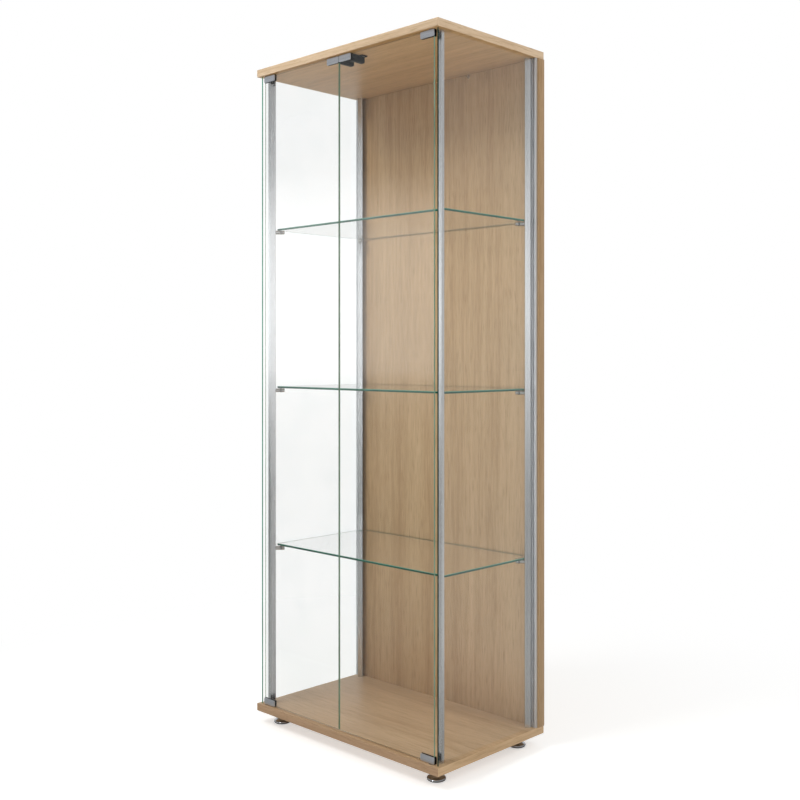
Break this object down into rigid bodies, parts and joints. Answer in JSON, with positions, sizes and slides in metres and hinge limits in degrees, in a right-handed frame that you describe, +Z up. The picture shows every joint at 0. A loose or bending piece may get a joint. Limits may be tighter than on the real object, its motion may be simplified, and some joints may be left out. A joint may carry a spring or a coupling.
{
  "type": "display case",
  "caption": "Tall floor-standing display case with glass sides, glass shelves on corner pegs, a board top, base and back, and frameless glass doors on pivots with push latches.",
  "frame": {"origin": "on the floor, under the middle of the case's outer box", "axes": "+X to the right as one faces the doors, -Y towards the front, +Z up"},
  "size_m": [0.614, 0.37, 1.63],
  "materials": {
    "oak_board": "satin",
    "zinc_steel": "satin",
    "anodised_aluminium": "satin",
    "clear_glass": "gloss",
    "nickel_steel": "gloss",
    "black_rubber": "matte",
    "black_plastic": "matte",
    "satin_plate": "satin",
    "beige_plastic": "matte",
    "dark_chrome": "gloss"
  },
  "bodies": {
    "case": {"top_panel": "oak_board", "base_panel": "oak_board", "back_panel": "oak_board", "post_front_left": "anodised_aluminium", "post_front_right": "anodised_aluminium", "post_back_left": "anodised_aluminium", "post_back_right": "anodised_aluminium", "side_glass_left": "clear_glass", "side_glass_right": "clear_glass", "rear_channel_left": "anodised_aluminium", "rear_channel_right": "anodised_aluminium", "shelf_lower": "clear_glass", "shelf_middle": "clear_glass", "shelf_upper": "clear_glass", "peg_lower_front_left": "nickel_steel", "peg_lower_front_right": "nickel_steel", "peg_lower_back_left": "nickel_steel", "peg_lower_back_right": "nickel_steel", "peg_middle_front_left": "nickel_steel", "peg_middle_front_right": "nickel_steel", "peg_middle_back_left": "nickel_steel", "peg_middle_back_right": "nickel_steel", "peg_upper_front_left": "nickel_steel", "peg_upper_front_right": "nickel_steel", "peg_upper_back_left": "nickel_steel", "peg_upper_back_right": "nickel_steel", "rings_lower": "black_rubber", "rings_middle": "black_rubber", "rings_upper": "black_rubber", "pivot_bush_left_base": "beige_plastic", "pivot_bush_left_top": "beige_plastic", "pivot_bush_right_base": "beige_plastic", "pivot_bush_right_top": "beige_plastic", "latch_housing": "black_plastic", "latch_screws": "zinc_steel", "foot_front_left": "dark_chrome", "foot_front_right": "dark_chrome", "foot_back_left": "dark_chrome", "foot_back_right": "dark_chrome", "foot_sockets": "black_plastic", "post_screws_top": "zinc_steel", "post_screws_base": "zinc_steel", "back_fixing": "nickel_steel"},
    "door_left": {"door_glass_left": "clear_glass", "hinge_body_left_base": "black_plastic", "hinge_body_left_top": "black_plastic", "hinge_plate_left_base": "satin_plate", "hinge_plate_left_top": "satin_plate", "strike_body_left": "black_plastic", "strike_plate_left": "satin_plate"},
    "door_right": {"door_glass_right": "clear_glass", "hinge_body_right_base": "black_plastic", "hinge_body_right_top": "black_plastic", "hinge_plate_right_base": "satin_plate", "hinge_plate_right_top": "satin_plate", "strike_body_right": "black_plastic", "strike_plate_right": "satin_plate"},
    "plunger_left": {"latch_plunger_left": "nickel_steel"},
    "plunger_right": {"latch_plunger_right": "nickel_steel"}
  },
  "joints": [
    {"name": "door_left_swing", "type": "hinge", "parent": "case", "child": "door_left", "pos_m": [-0.277, -0.173, 0.83], "axis": [0, 0, -1], "range_deg": [0, 110]},
    {"name": "door_right_swing", "type": "hinge", "parent": "case", "child": "door_right", "pos_m": [0.277, -0.173, 0.83], "axis": [0, 0, 1], "range_deg": [0, 110]},
    {"name": "plunger_left_slide", "type": "slide", "parent": "case", "child": "plunger_left", "axis": [0, -1, 0], "range_m": [0, 0.004]},
    {"name": "plunger_right_slide", "type": "slide", "parent": "case", "child": "plunger_right", "axis": [0, -1, 0], "range_m": [0, 0.004]}
  ],
  "couplings": [
    {"joint": "plunger_left_slide", "follows": "door_left_swing", "m_per_rad": 0.002},
    {"joint": "plunger_right_slide", "follows": "door_right_swing", "m_per_rad": 0.002}
  ]
}
